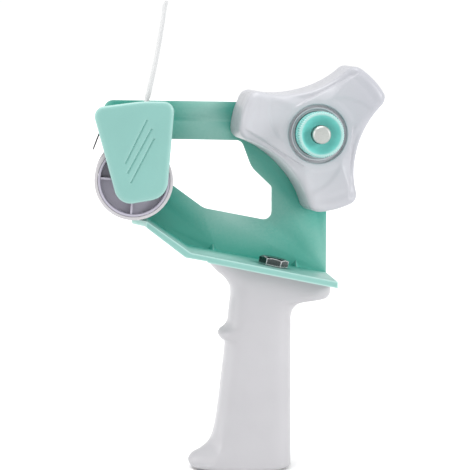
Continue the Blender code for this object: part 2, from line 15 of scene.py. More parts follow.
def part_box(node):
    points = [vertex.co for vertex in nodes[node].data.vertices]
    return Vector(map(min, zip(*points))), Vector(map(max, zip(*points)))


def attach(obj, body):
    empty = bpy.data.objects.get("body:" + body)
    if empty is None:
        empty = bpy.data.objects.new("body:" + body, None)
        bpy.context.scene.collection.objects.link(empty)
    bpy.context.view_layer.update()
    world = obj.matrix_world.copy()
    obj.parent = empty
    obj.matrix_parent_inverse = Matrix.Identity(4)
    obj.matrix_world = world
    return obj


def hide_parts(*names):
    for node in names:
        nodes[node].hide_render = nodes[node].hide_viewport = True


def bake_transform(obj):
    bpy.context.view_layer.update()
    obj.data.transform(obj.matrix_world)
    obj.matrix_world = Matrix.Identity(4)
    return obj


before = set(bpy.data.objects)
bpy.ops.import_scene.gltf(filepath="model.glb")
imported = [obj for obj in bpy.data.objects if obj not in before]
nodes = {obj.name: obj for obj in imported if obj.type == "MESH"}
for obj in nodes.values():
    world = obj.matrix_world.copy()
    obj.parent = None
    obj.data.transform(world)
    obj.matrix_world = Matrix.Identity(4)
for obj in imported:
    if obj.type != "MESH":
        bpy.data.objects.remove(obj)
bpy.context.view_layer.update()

MM = 0.001

# ---- camera ----------------------------------------------------------------
CAMERA_AT = Vector((-64.5, -844.6, 189.1))
CAMERA_TURN = 4.247           # degrees to the left of straight ahead, seen from above
CAMERA_TILT = 4.864           # degrees down
CAMERA_LENS = 130.5
CAMERA_SENSOR = 36.0

# ---- colours (linear) ------------------------------------------------------
MINT = (0.46, 0.66, 0.61)
# painted shade: darker, more saturated mint the frame turns to in corners and hollows
MINT_HOLLOW_SHADE = (0.035, 0.30, 0.235)
# painted shade: the frame's colour darkens towards its front edge
MINT_FRONT_SHADE = (0.165, 0.34, 0.308)
# painted highlight: paler colour along the frame's outer edges
MINT_RIM_HIGHLIGHT = (0.33, 0.50, 0.465)
GUARD_MINT = (0.155, 0.325, 0.297)
# painted shade: darker mint the guard turns to in its grooves and hollows
GUARD_HOLLOW_SHADE = (0.08, 0.25, 0.22)
# painted highlight: paler colour along the guard's rounded border
GUARD_RIM_HIGHLIGHT = (0.27, 0.44, 0.41)
HUB_WHITE = (0.37, 0.375, 0.40)
# painted shade: darker grey the hub turns to over its rear side
HUB_PAINTED_SHADE = (0.325, 0.33, 0.36)
GRIP_WHITE = (0.355, 0.350, 0.366)
SLEEVE_GREY = (0.39, 0.38, 0.395)
CORE_GREY = (0.335, 0.32, 0.38)
KNOB_MINT = (0.29, 0.44, 0.42)
# painted shade: more saturated teal the knob turns to in its dish and hollows
KNOB_HOLLOW_SHADE = (0.135, 0.49, 0.45)
STEEL = (0.56, 0.57, 0.58)
BLADE_DARK = (0.045, 0.045, 0.05)
# painted reflection: dark base standing in for dark surroundings reflected in the plated bolt
BOLT_DARK_REFLECTION = (0.055, 0.065, 0.065)
# painted highlight: bright colour along the bolt's edges
CHROME_EDGE_HIGHLIGHT = (0.85, 0.86, 0.87)
ALLOY = (0.385, 0.40, 0.385)
BRASS = (0.72, 0.55, 0.25)
FELT = (0.06, 0.055, 0.055)
FILM = (0.50, 0.505, 0.51)
RIM_FADE = 0.012              # metres either side of a depth over which the painted edge highlights die out


# ---- materials -------------------------------------------------------------
class Graph:
    """A material's node tree, with short calls for adding to it."""

    def __init__(self, name):
        self.material = bpy.data.materials.new(name)
        self.material.use_nodes = True
        self.tree = self.material.node_tree
        self.shader = self.tree.nodes["Principled BSDF"]
        self.place = self.add("ShaderNodeTexCoord").outputs["Object"]

    def add(self, kind, **settings):
        node = self.tree.nodes.new(kind)
        for key, value in settings.items():
            setattr(node, key, value)
        return node

    def link(self, start, end):
        self.tree.links.new(start, end)

    def noise(self, scale, detail=3.0, stretch=(1.0, 1.0, 1.0)):
        """Noise in the object's own space; scale is in features per metre."""
        mapping = self.add("ShaderNodeMapping")
        mapping.inputs["Scale"].default_value = stretch
        self.link(self.place, mapping.inputs["Vector"])
        node = self.add("ShaderNodeTexNoise")
        node.inputs["Scale"].default_value = scale
        node.inputs["Detail"].default_value = detail
        self.link(mapping.outputs["Vector"], node.inputs["Vector"])
        return node.outputs["Fac"]

    def span(self, value, low, high, start=0.3, end=0.7):
        """A value remapped from start..end to low..high."""
        node = self.add("ShaderNodeMapRange")
        node.inputs["From Min"].default_value = start
        node.inputs["From Max"].default_value = end
        node.inputs["To Min"].default_value = low
        node.inputs["To Max"].default_value = high
        self.link(value, node.inputs["Value"])
        return node.outputs["Result"]

    def mix(self, factor, first, second):
        """Blend of two colours, each a tuple or another node's output."""
        node = self.add("ShaderNodeMix", data_type="RGBA")
        for socket, colour in (("A", first), ("B", second)):
            if isinstance(colour, tuple):
                node.inputs[socket].default_value = (*colour, 1.0)
            else:
                self.link(colour, node.inputs[socket])
        self.link(factor, node.inputs["Factor"])
        return node.outputs["Result"]

    def bump(self, height, strength, distance, under=None):
        node = self.add("ShaderNodeBump")
        node.inputs["Strength"].default_value = strength
        node.inputs["Distance"].default_value = distance
        self.link(height, node.inputs["Height"])
        if under is not None:
            self.link(under, node.inputs["Normal"])
        return node.outputs["Normal"]

    def along(self, axis):
        """Position along X, Y or Z in the object's own space, in metres."""
        axes = self.add("ShaderNodeSeparateXYZ")
        self.link(self.place, axes.inputs["Vector"])
        return axes.outputs[axis]

    def openness(self, reach):
        """1 on open faces, falling towards 0 in corners and hollows: the mask for painted shade."""
        node = self.add("ShaderNodeAmbientOcclusion", samples=8)
        node.inputs["Distance"].default_value = reach
        return node.outputs["AO"]

    def edges(self, width):
        """1 along sharp edges, 0 on flat faces: the mask for painted edge highlights."""
        soft = self.add("ShaderNodeBevel", samples=6)
        soft.inputs["Radius"].default_value = width
        flat = self.add("ShaderNodeNewGeometry").outputs["Normal"]
        dot = self.add("ShaderNodeVectorMath", operation="DOT_PRODUCT")
        self.link(soft.outputs["Normal"], dot.inputs[0])
        self.link(flat, dot.inputs[1])
        return self.span(dot.outputs["Value"], 1.0, 0.0, 0.87, 0.995)

    def thin(self, reach):
        """1 along outer edges: the mask for painted edge highlights, a paler colour standing in for light.
        """
        node = self.add("ShaderNodeAmbientOcclusion", samples=8, inside=True)
        node.inputs["Distance"].default_value = reach
        return self.span(node.outputs["AO"], 1.0, 0.0, 0.62, 0.96)

    def set(self, **values):
        for key, value in values.items():
            self.shader.inputs[key.replace("_", " ")].default_value = value


def shade(colour, gain):
    return tuple(min(1.0, c * gain) for c in colour)


def moulded(name, colour, rough, grain=0.2, hollow_shade=None, reach=0.035, rim_highlight=None, rim_width=0.001,
            rim_back=None, shade_fade=None):
    """Injection-moulded plastic: cloudy colour, painted shade in hollows, painted highlights along outer
    edges.

    Round rim_back (metres along Y) the painted edge highlights die out. The last argument is
    (axis, start, end, colour), a painted shade: the colour turns to the last one from start to end, in
    metres."""
    g = Graph(name)
    cloud = g.span(g.noise(38.0, 4.0), 0.0, 1.0)
    tone = g.mix(cloud, shade(colour, 0.97), shade(colour, 1.03))
    # painted shade: the colour turns to the hollow shade colour in corners and hollows
    if hollow_shade is not None:
        tone = g.mix(g.span(g.openness(reach), 0.0, 1.0, 0.68, 1.0), hollow_shade, tone)
    # painted shade: along one axis the colour turns to a darker one
    if shade_fade is not None:
        axis, start, end, far = shade_fade
        tone = g.mix(g.span(g.along(axis), 0.0, 1.0, start, end), tone, far)
    # painted highlight: paler colour along outer edges, dying out towards the back
    if rim_highlight is not None:
        pale = g.mix(g.thin(rim_width), tone, rim_highlight)
        if rim_back is not None:
            lost = g.span(g.along("Y"), 0.0, 1.0, rim_back - RIM_FADE, rim_back + RIM_FADE)
            pale = g.mix(lost, pale, tone)
        tone = pale
    g.link(tone, g.shader.inputs["Base Color"])
    g.link(g.span(g.noise(220.0, 5.0), rough - 0.05, rough + 0.06), g.shader.inputs["Roughness"])
    surface = g.bump(g.noise(420.0, 2.0), 0.08, 0.0002)
    if grain > 0.0:
        surface = g.bump(g.noise(5200.0, 2.0), grain, 0.00003, surface)
    g.link(surface, g.shader.inputs["Normal"])
    g.set(IOR=1.5)
    return g.material


def metal(name, colour, rough, stretch=(1.0, 1.0, 1.0), scratch=0.15, edge_highlight=None):
    """Plated or brushed metal with fine lines, and painted highlights along its edges when a highlight
    colour is given.
    """
    g = Graph(name)
    tone = g.mix(g.span(g.noise(90.0, 4.0), 0.0, 1.0), shade(colour, 0.9), shade(colour, 1.06))
    # painted highlight: edges turn to the given bright colour
    if edge_highlight is not None:
        tone = g.mix(g.edges(0.0011), tone, edge_highlight)
    g.link(tone, g.shader.inputs["Base Color"])
    lines = g.noise(1500.0, 3.0, stretch)
    g.link(g.span(lines, rough * 0.75, rough * 1.35), g.shader.inputs["Roughness"])
    g.link(g.bump(lines, scratch, 0.00003), g.shader.inputs["Normal"])
    g.set(Metallic=1.0)
    return g.material


def rubber(name, colour):
    g = Graph(name)
    tone = g.mix(g.span(g.noise(60.0, 5.0), 0.0, 1.0), shade(colour, 0.95), shade(colour, 1.04))
    g.link(tone, g.shader.inputs["Base Color"])
    g.link(g.span(g.noise(300.0, 4.0), 0.52, 0.68), g.shader.inputs["Roughness"])
    g.link(g.bump(g.noise(2600.0, 4.0), 0.35, 0.00005), g.shader.inputs["Normal"])
    return g.material


def felt(name, colour):
    g = Graph(name)
    fibre = g.noise(3000.0, 6.0, (1.0, 0.3, 1.0))
    tone = g.mix(g.span(fibre, 0.0, 1.0), shade(colour, 0.6), shade(colour, 1.6))
    g.link(tone, g.shader.inputs["Base Color"])
    g.link(g.bump(fibre, 0.8, 0.0002), g.shader.inputs["Normal"])
    g.set(Roughness=0.95, Sheen_Weight=0.3)
    return g.material


def film(name, colour):
    """Thin frosted plastic sheet."""
    g = Graph(name)
    tone = g.mix(g.span(g.noise(70.0, 4.0), 0.0, 1.0), shade(colour, 0.95), shade(colour, 1.03))
    g.link(tone, g.shader.inputs["Base Color"])
    g.link(g.span(g.noise(400.0, 4.0), 0.28, 0.42), g.shader.inputs["Roughness"])
    g.link(g.bump(g.noise(1800.0, 3.0, (1.0, 1.0, 0.2)), 0.08, 0.00003), g.shader.inputs["Normal"])
    g.set(IOR=1.46, Transmission_Weight=0.1)
    return g.material


FINISH = {
    # mint frame: painted shade in hollows and towards the front, painted highlights along outer edges
    "mint": moulded("mint_plastic", MINT, 0.36, 0.12, MINT_HOLLOW_SHADE, rim_highlight=MINT_RIM_HIGHLIGHT, rim_back=0.020,
                    shade_fade=("Y", 0.020, -0.020, MINT_FRONT_SHADE)),
    # guard: painted shade in grooves and hollows, painted highlights along its border
    "guard": moulded("guard_plastic", GUARD_MINT, 0.36, 0.12, GUARD_HOLLOW_SHADE, 0.004, GUARD_RIM_HIGHLIGHT, 0.0022),
    # knob: painted shade in the dish and hollows
    "knob": moulded("knob_plastic", KNOB_MINT, 0.36, 0.12, KNOB_HOLLOW_SHADE, 0.016),
    # hub: painted shade, darker over its rear side
    "hub": moulded("hub_plastic", HUB_WHITE, 0.37, 0.0, shade_fade=("X", 0.038, 0.062, HUB_PAINTED_SHADE)),
    "grip": moulded("grip_plastic", GRIP_WHITE, 0.40, 0.3),
    "core": moulded("core_plastic", CORE_GREY, 0.45),
    "sleeve": rubber("sleeve_rubber", SLEEVE_GREY),
    "steel": metal("plated_steel", STEEL, 0.28),
    "blade": metal("blade_steel", BLADE_DARK, 0.45, (1.0, 12.0, 1.0), 0.3),
    # bolt: painted dark reflection on its faces, painted highlights on its edges
    "bolt": metal("bolt_steel", BOLT_DARK_REFLECTION, 0.22, edge_highlight=CHROME_EDGE_HIGHLIGHT),
    "axle": metal("turned_alloy", ALLOY, 0.45, scratch=0.25),
    "brass": metal("brass", BRASS, 0.30),
    "felt": felt("felt", FELT),
    "film": film("frosted_film", FILM),
}

NODE_FINISH = {
    "side_frame": "mint", "flap_clamp": "mint", "blade": "blade", "hub_axle": "axle",
    "handle_insert": "brass", "friction_disc": "felt",
}


def dress(obj, finish):
    obj.data.materials.clear()
    obj.data.materials.append(FINISH[finish])


def refine(node, width):
    """Rounds a carried-over CAD node's sharp edges by modifiers; its own mesh stays as packed."""
    weld = node.modifiers.new("weld", "WELD")
    weld.merge_threshold = 0.00001
    flat = node.modifiers.new("flat", "DECIMATE")
    flat.decimate_type = "DISSOLVE"
    flat.angle_limit = math.radians(0.5)
    bevel = node.modifiers.new("bevel", "BEVEL")
    bevel.width = width * MM
    bevel.segments = 2
    bevel.limit_method = "ANGLE"
    bevel.angle_limit = math.radians(32.0)
    bevel.use_clamp_overlap = True
    smooth(node, 40.0)


for name, node in nodes.items():
    dress(node, NODE_FINISH.get(name, "steel"))


# ---- mesh helpers ------------------------------------------------------------
def piece(name, verts, faces, angle=35.0):
    """New closed mesh object from mm points, faces out, smooth but for edges over angle."""
    mesh = bpy.data.meshes.new(name)
    mesh.from_pydata([tuple(c * MM for c in v) for v in verts], [], faces)
    bm = bmesh.new()
    bm.from_mesh(mesh)
    bmesh.ops.remove_doubles(bm, verts=bm.verts, dist=1e-7)
    bmesh.ops.recalc_face_normals(bm, faces=bm.faces)
    bm.to_mesh(mesh)
    bm.free()
    obj = bpy.data.objects.new(name, mesh)
    bpy.context.scene.collection.objects.link(obj)
    smooth(obj, angle)
    return obj


def smooth(obj, angle=35.0):
    obj.data.shade_smooth()
    obj.data.set_sharp_from_angle(angle=math.radians(angle))


def loft(name, rings, closed=False, angle=35.0):
    """Skin a row of equal-length rings; closed joins the last ring to the first."""
    n = len(rings[0])
    verts = [p for ring in rings for p in ring]
    faces = []
    for i in range(len(rings) if closed else len(rings) - 1):
        a, b = i * n, ((i + 1) % len(rings)) * n
        for k in range(n):
            m = (k + 1) % n
            faces.append((a + k, a + m, b + m, b + k))
    if not closed:
        faces.append(tuple(range(n))[::-1])
        faces.append(tuple(range(len(verts) - n, len(verts))))
    return piece(name, verts, faces, angle)


def turned(name, profile, centre, n=96, closed=False, wave=None, angle=35.0):
    """Turn (radius, y) pairs about the Y line through centre (x, z); wave(t, radius, y) cuts teeth."""
    rings = []
    for r, y in profile:
        ring = []
        for k in range(n):
            t = 2 * math.pi * k / n
            rad = r - (wave(t, r, y) if wave else 0.0)
            ring.append((centre[0] + rad * math.cos(t), y, centre[1] + rad * math.sin(t)))
        rings.append(ring)
    return loft(name, rings, closed, angle)


def prism(name, points, y0, y1):
    return loft(name, [[(x, y, z) for x, z in points] for y in (y0, y1)])


def combine(target, tool, operation):
    mod = target.modifiers.new("bool", "BOOLEAN")
    mod.solver = "EXACT"
    mod.operation = operation
    mod.object = tool
    graph = bpy.context.evaluated_depsgraph_get()
    mesh = bpy.data.meshes.new_from_object(target.evaluated_get(graph))
    target.modifiers.clear()
    target.data = mesh
    bpy.data.objects.remove(tool, do_unlink=True)


def arc(cx, cz, r, start, end, steps):
    """Points on an arc, angles in degrees."""
    out = []
    for k in range(steps + 1):
        t = math.radians(start + (end - start) * k / steps)
        out.append((cx + r * math.cos(t), cz + r * math.sin(t)))
    return out


def rounded(corners, steps=12):
    """Polygon from (x, z, radius) corners, each radius turned into an arc."""
    out = []
    count = len(corners)
    for i in range(count):
        x, z, r = corners[i]
        p = Vector((x, z))
        a = (Vector(corners[i - 1][:2]) - p).normalized()
        b = (Vector(corners[(i + 1) % count][:2]) - p).normalized()
        half = math.acos(max(-1, min(1, a.dot(b)))) / 2
        run = r / math.tan(half)
        start, end = p + a * run, p + b * run
        centre = p + (a + b).normalized() * (r / math.sin(half))
        t0 = math.atan2(start.y - centre.y, start.x - centre.x)
        t1 = math.atan2(end.y - centre.y, end.x - centre.x)
        turn = (t1 - t0 + math.pi) % (2 * math.pi) - math.pi
        for k in range(steps + 1):
            t = t0 + turn * k / steps
            out.append((centre.x + r * math.cos(t), centre.y + r * math.sin(t)))
    return out


def inset(points, d):
    """Move each point of a counter-clockwise outline inwards by d."""
    out = []
    n = len(points)
    for i in range(n):
        p = Vector(points[i])
        a = (p - Vector(points[i - 1])).normalized()
        b = (Vector(points[(i + 1) % n]) - p).normalized()
        na, nb = Vector((-a.y, a.x)), Vector((-b.y, b.x))
        m = (na + nb).normalized()
        out.append(tuple(p + m * (d / max(0.5, m.dot(na)))))
    return out


def ease(low, high, value):
    """0 below low, 1 above high, smooth between."""
    t = max(0.0, min(1.0, (value - low) / (high - low)))
    return t * t * (3 - 2 * t)


def curve_through(table, z):
    """Monotone cubic through (z, x) points, flat beyond both ends."""
    if z <= table[0][0]:
        return table[0][1]
    if z >= table[-1][0]:
        return table[-1][1]
    i = max(k for k in range(len(table) - 1) if table[k][0] <= z)

    def slope(k):
        if k <= 0 or k >= len(table) - 1:
            return 0.0
        (za, xa), (zb, xb), (zc, xc) = table[k - 1:k + 2]
        left, right = (xb - xa) / (zb - za), (xc - xb) / (zc - zb)
        return 0.0 if left * right <= 0 else 2 * left * right / (left + right)

    (z0, x0), (z1, x1) = table[i], table[i + 1]
    h = z1 - z0
    t = (z - z0) / h
    a, b = slope(i) * h, slope(i + 1) * h
    return ((2 * t**3 - 3 * t**2 + 1) * x0 + (t**3 - 2 * t**2 + t) * a
            + (3 * t**2 - 2 * t**3) * x1 + (t**3 - t**2) * b)


def settle(obj, finish, body, slot, *stands_for):
    dress(obj, finish)
    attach(obj, body)
    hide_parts(*stands_for)


def middle(node):
    low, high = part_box(node)
    return (low + high) / 2 / MM


# ---- tape hub ----------------------------------------------------------------
HUB_CENTRE = (middle("hub_axle").x, middle("hub_axle").z)
HUB_R = 38.0
HUB_WAIST = 21.0
HUB_FLANK_R = 46.0
HUB_CORNER = 5.0
HUB_LOBE = 44.0
HUB_FRONT = -22.0
HUB_BACK = 23.0
HUB_WALL = 2.2
HUB_FLARE = 1.6
CUP_R = 14.3
CUP_STEP = 2.0
COLLAR_R = (13.1, 12.1)
COLLAR_STEP = 0.9
COLLAR_BACK = 1.8
CUP_BORE = 11.2
CUP_FLOOR = -11.0
JOURNAL_BORE = 6.08
RING_R = 16.5                 # the creases are tangents to this circle
CREASE_TURN = 73.5            # degrees from a lobe's middle to where its crease leaves the circle
CREASE_DROP = 1.8
SPIRAL_R = 24.0               # a soft ridge crosses each lobe at this radius
SPIRAL_PITCH = 0.24           # mm of radius for each degree
SPIRAL_DROP = 0.5
TIP_R = 32.0                  # a shallow hollow runs just inside each lobe's tip
TIP_DROP = 0.3
FILLET_TILT = 0.32            # the wide edge leaves the face at a slight angle
HUB_COLUMNS = 420


def hub_outline(t):
    """Outline radius at angle t: a circle with three hollow flanks and rounded corners."""
    far, hold, reach = HUB_WAIST + HUB_FLANK_R, HUB_R - HUB_CORNER, HUB_FLANK_R + HUB_CORNER
    d = math.radians(abs((math.degrees(t) - HUB_LOBE) % 120.0 - 60.0))
    corner = math.acos((far ** 2 + hold ** 2 - reach ** 2) / (2 * far * hold))
    if d >= corner:
        return HUB_R
    share = HUB_FLANK_R / reach
    start = math.atan2(hold * math.sin(corner) * share, far + (hold * math.cos(corner) - far) * share)
    if d >= start:
        off = d - corner
        return hold * math.cos(off) + math.sqrt(HUB_CORNER ** 2 - (hold * math.sin(off)) ** 2)
    return far * math.cos(d) - math.sqrt(HUB_FLANK_R ** 2 - (far * math.sin(d)) ** 2)


def from_lobe(t):
    """Degrees from the nearest lobe's middle, -60 to 60, counter-clockwise positive."""
    return (math.degrees(t) - HUB_LOBE + 60.0) % 120.0 - 60.0


def hub_broad(t):
    """0 to 1: how much of the broad edge runs along the outline at angle t."""
    d = (math.degrees(t) - HUB_LOBE) % 120.0
    fall = 1.0 - 0.55 * ease(28.0, 50.0, d) - 0.45 * ease(70.0, 110.0, d)
    return ease(12.0, 26.0, d) * fall


def hub_relief(t, r):
    """How far the front face lies behind flush at angle t and radius r."""
    drop = 0.0
    for k in range(3):
        lean = t - math.radians(HUB_LOBE + 120.0 * k + CREASE_TURN)
        across, along = r * math.cos(lean) - RING_R, -r * math.sin(lean)
        if across > 0.0 and along > -6.0:
            reach = ease(-6.0, 2.0, along) * (1.0 - ease(27.0, 33.0, along))
            drop = max(drop, CREASE_DROP * ease(0.0, 0.7, across) * reach)
    d = from_lobe(t)
    ridge = SPIRAL_R - SPIRAL_PITCH * d
    hollow = (1.0 - ease(ridge - 1.2, ridge + 1.2, r)) * ease(RING_R, RING_R + 3.0, r)
    tip = TIP_DROP * (1.0 - ease(0.0, 2.4, abs(r - TIP_R))) * (1.0 - ease(10.0, 18.0, abs(d)))
    return drop + tip + SPIRAL_DROP * hollow * (1.0 - ease(18.0, 30.0, abs(d)))


def make_hub():
    angles = [2 * math.pi * k / HUB_COLUMNS for k in range(HUB_COLUMNS)]
    edge = [hub_outline(t) for t in angles]
    near = KDTree(HUB_COLUMNS * 4)
    for k in range(HUB_COLUMNS * 4):
        t = 2 * math.pi * k / (HUB_COLUMNS * 4)
        near.insert((hub_outline(t) * math.cos(t), 0.0, hub_outline(t) * math.sin(t)), k)
    near.balance()
    broad = [hub_broad(t) for t in angles]

    def at(k, r, y):
        return (HUB_CENTRE[0] + r * math.cos(angles[k]), y, HUB_CENTRE[1] + r * math.sin(angles[k]))

    def circle(r, y):
        return [at(k, r, y) for k in range(HUB_COLUMNS)]

    def shell(offset, y):
        """Ring at the outline plus offset, flared towards the back."""
        return [at(k, edge[k] + offset + HUB_FLARE * (y - HUB_FRONT) / (HUB_BACK - HUB_FRONT), y)
                for k in range(HUB_COLUMNS)]

    rings = [shell(-0.6, HUB_BACK), shell(-0.15, HUB_BACK - 0.15), shell(0.0, HUB_BACK - 0.6)]
    rings += [shell(0.0, y) for y in (15.0, 5.0, -5.0, -11.0)]
    for share in [1.0 - (k / 30.0) ** 1.35 for k in range(30)] + [0.0]:
        ring = []
        for k, t in enumerate(angles):
            r = CUP_R + 0.5 + share * (edge[k] - CUP_R - 0.5)
            inside = near.find((r * math.cos(t), 0.0, r * math.sin(t)))[2] if share < 1.0 else 0.0
            round_r = 3.6 + 3.2 * broad[k]
            left = max(0.0, round_r - inside)
            tilt = FILLET_TILT * broad[k]
            back = (1.0 - tilt) * (round_r - math.sqrt(max(0.0, round_r ** 2 - left ** 2))) + tilt * left
            relief = hub_relief(t, r) * ease(0.0, 3.0, inside)
            flare = HUB_FLARE * (back / (HUB_BACK - HUB_FRONT)) * share
            ring.append(at(k, r + flare, HUB_FRONT + back + relief))
        rings.append(ring)
    rings += [circle(CUP_R + 0.15, HUB_FRONT + 0.15), circle(CUP_R, HUB_FRONT + 0.5),
              circle(CUP_R, HUB_FRONT + CUP_STEP), circle(COLLAR_R[0], HUB_FRONT + CUP_STEP),
              circle(COLLAR_R[0], HUB_FRONT + COLLAR_STEP + 0.25),
              circle(COLLAR_R[0] - 0.25, HUB_FRONT + COLLAR_STEP),
              circle(COLLAR_R[1] + 0.2, HUB_FRONT + COLLAR_STEP),
              circle(COLLAR_R[1], HUB_FRONT + COLLAR_STEP + 0.2),
              circle(COLLAR_R[1], HUB_FRONT + COLLAR_BACK), circle(CUP_BORE, HUB_FRONT + COLLAR_BACK),
              circle(CUP_BORE, CUP_FLOOR), circle(JOURNAL_BORE, CUP_FLOOR), circle(JOURNAL_BORE, 20.4),
              circle(8.6, 20.4), circle(9.0, 20.0), circle(9.0, CUP_FLOOR + 2.2),
              circle(15.8, CUP_FLOOR + 2.2), circle(15.8, HUB_FRONT + 3.6)]
    inner = [at(k, edge[k] - HUB_WALL - 3.6, HUB_FRONT + 3.6) for k in range(HUB_COLUMNS)]
    rings += [inner, shell(-HUB_WALL - 1.2, HUB_FRONT + 5.4), shell(-HUB_WALL, HUB_FRONT + 8.5),
              shell(-HUB_WALL, 5.0), shell(-HUB_WALL, HUB_BACK)]
    settle(loft("hub_shell", rings, closed=True, angle=50.0), "hub", "hub", "tape_hub", "tape_hub")


# ---- tension knob --------------------------------------------------------------
KNOB_R = 11.2
KNOB_NECK = 10.9
KNOB_FRONT = -36.0
KNOB_GRIP = -28.0
KNOB_REAR = -17.0
KNOB_TEETH = 60
TOOTH_DEPTH = 0.45


def make_knob():
    def teeth(t, r, y):
        depth = TOOTH_DEPTH * ease(KNOB_R - 1.2, KNOB_R - 0.5, r) * (y < KNOB_GRIP)
        return depth * (0.5 - 0.5 * math.cos(KNOB_TEETH * t)) if r > KNOB_R - 1.3 else 0.0

    profile = [(KNOB_NECK - 0.2, KNOB_REAR), (KNOB_NECK, KNOB_REAR - 0.2), (KNOB_NECK, KNOB_GRIP + 0.2),
               (KNOB_R - 0.3, KNOB_GRIP - 0.1), (KNOB_R, KNOB_GRIP - 0.5), (KNOB_R, -31.0), (KNOB_R, -34.2)]
    profile += arc(KNOB_R - 1.2, -KNOB_FRONT - 1.2, 1.2, 0.0, 90.0, 6)
    profile = [(r, y if y < 0 else -y) for r, y in profile]
    bowl = [(9.8, 0.0), (9.5, 0.12), (9.2, 0.4), (8.8, 0.95), (8.0, 2.0), (7.2, 3.0), (6.4, 3.8),
            (5.7, 4.35), (5.0, 4.6), (4.55, 4.7)]
    profile += [(r, KNOB_FRONT + d) for r, d in bowl]
    profile += [(4.5, -27.6), (7.6, -27.6), (7.6, -24.8), (9.2, -24.8), (9.2, KNOB_REAR)]
    knob = turned("knob_body", profile, HUB_CENTRE, KNOB_TEETH * 6, True, teeth, 60.0)
    settle(knob, "knob", "knob", "tension_knob", "tension_knob")


# ---- tension spring ------------------------------------------------------------
SPRING_ENDS = (-15.3, -22.9)      # fixed end, end that moves with the tension carrier
SPRING_MEAN = 7.2
SPRING_TURNS = 4.0
WIRE_R = 0.5


def make_spring():
    x, z = HUB_CENTRE
    back, front = SPRING_ENDS[0] - WIRE_R, SPRING_ENDS[1] + WIRE_R
    rings = []
    total = int(SPRING_TURNS * 36)
    rise = (front - back) / (2 * math.pi * SPRING_TURNS)
    for k in range(total + 1):
        t = 2 * math.pi * k / 36
        out = Vector((math.cos(t), 0.0, math.sin(t)))
        along = Vector((-SPRING_MEAN * math.sin(t), rise, SPRING_MEAN * math.cos(t))).normalized()
        up = along.cross(out)
        centre = Vector((x, back + rise * t, z)) + out * SPRING_MEAN
        angles = [2 * math.pi * j / 12 for j in range(12)]
        rings.append([tuple(centre + (out * math.cos(a) + up * math.sin(a)) * WIRE_R) for a in angles])
    spring = loft("coil_spring", rings, angle=60.0)
    dress(spring, "steel")
    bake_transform(spring)
    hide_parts("tension_spring")


# ---- handle ---------------------------------------------------------------------
GRIP_HALF = 14.5
GRIP_POWER = 3.2
GRIP_MID_X = 9.0
GRIP_FRONT = [(0.0, -20.0), (1.2, -24.0), (4.0, -25.5), (6.8, -24.0), (9.5, -19.4),
              (13.0, -15.4), (17.5, -13.1), (23.0, -11.9), (33.0, -10.4),
              (44.0, -9.1), (56.5, -7.6), (62.5, -7.1), (64.5, -7.6), (66.0, -9.5),
              (67.8, -10.4), (69.6, -9.6), (71.2, -7.3), (74.3, -5.6), (79.5, -5.0),
              (84.5, -4.4), (87.0, -4.1), (90.5, -4.3), (94.0, -5.8), (97.0, -8.3),
              (99.5, -11.3), (101.6, -13.3), (106.0, -16.3)]
GRIP_BACK = [(0.0, 22.0), (0.8, 24.6), (2.2, 26.0), (69.0, 26.0), (76.0, 26.0),
             (79.6, 26.8), (82.6, 29.4), (84.0, 34.0), (84.8, 41.0), (85.6, 44.1),
             (88.0, 45.8), (90.0, 46.1), (106.0, 46.1)]
GRIP_COLUMNS = 160
TOE_CREASE = [(2.3, -20.5), (3.0, -15.2), (4.2, -12.3), (7.0, -10.9), (9.6, -9.9), (14.0, -9.2)]
TOE_SCOOP = 0.50
SEAT_TOP = (-24.8, 110.2)
SEAT_SLOPE = -0.2055
SEAT_THICK = 3.2
GAP = 0.3


def seat_under(x):
    return SEAT_TOP[1] + SEAT_SLOPE * (x - SEAT_TOP[0]) - SEAT_THICK


def grip_point(z, t):
    """Point on the grip's section at height z."""
    front = GRIP_MID_X - curve_through(GRIP_FRONT, z)
    back = curve_through(GRIP_BACK, z) - GRIP_MID_X
    c, s = math.cos(t), math.sin(t)
    x = GRIP_MID_X + (back if c >= 0 else front) * math.copysign(abs(c) ** (2 / GRIP_POWER), c)
    half = GRIP_HALF - 1.6 * (1.0 - math.sqrt(min(1.0, z / 2.2) * (2 - min(1.0, z / 2.2))))
    y = half * math.copysign(abs(s) ** (2 / GRIP_POWER), s)
    crease = curve_through(TOE_CREASE, z)
    if x < crease:
        share = (crease - x) / max(1.0, crease - (GRIP_MID_X - front))
        y *= 1.0 - TOE_SCOOP * share * ease(1.8, 3.4, z) * (1.0 - ease(11.0, 19.0, z))
    return (x, y, z)


def make_handle():
    heights = [0.0, 0.25, 0.6, 1.0, 1.5, 2.0, 2.5, 3.0]
    heights += [3.0 + 0.6 * k for k in range(1, 31)]
    heights += [21.0 + 2.5 * k for k in range(1, 16)]
    heights += [58.5 + 0.6 * k for k in range(1, 26)]
    heights += [73.5 + 0.55 * k for k in range(1, 60)]
    rings = [[grip_point(z, 2 * math.pi * k / GRIP_COLUMNS) for k in range(GRIP_COLUMNS)] for z in heights]
    grip = loft("grip", rings, angle=50.0)
    top = [(-60.0, seat_under(-60.0) - GAP), (80.0, seat_under(80.0) - GAP), (80.0, 140.0), (-60.0, 140.0)]
    combine(grip, prism("top", top, -40.0, 40.0), "DIFFERENCE")
    smooth(grip, 50.0)
    settle(grip, "grip", "frame", "handle", "handle")


# ---- handle bolt -----------------------------------------------------------------
BOLT_X = 17.2
BOLT_HEAD = 4.3
BOLT_FLAT = 6.5                # middle to a flat
BOLT_TOP_R = 5.9
BOLT_CHAMFER = 0.9
BOLT_FACING = -95.5            # degrees in the XY plane to the middle of one flat
BOLT_SHANK = [(3.9, -0.3), (3.9, -27.0), (3.2, -28.0)]


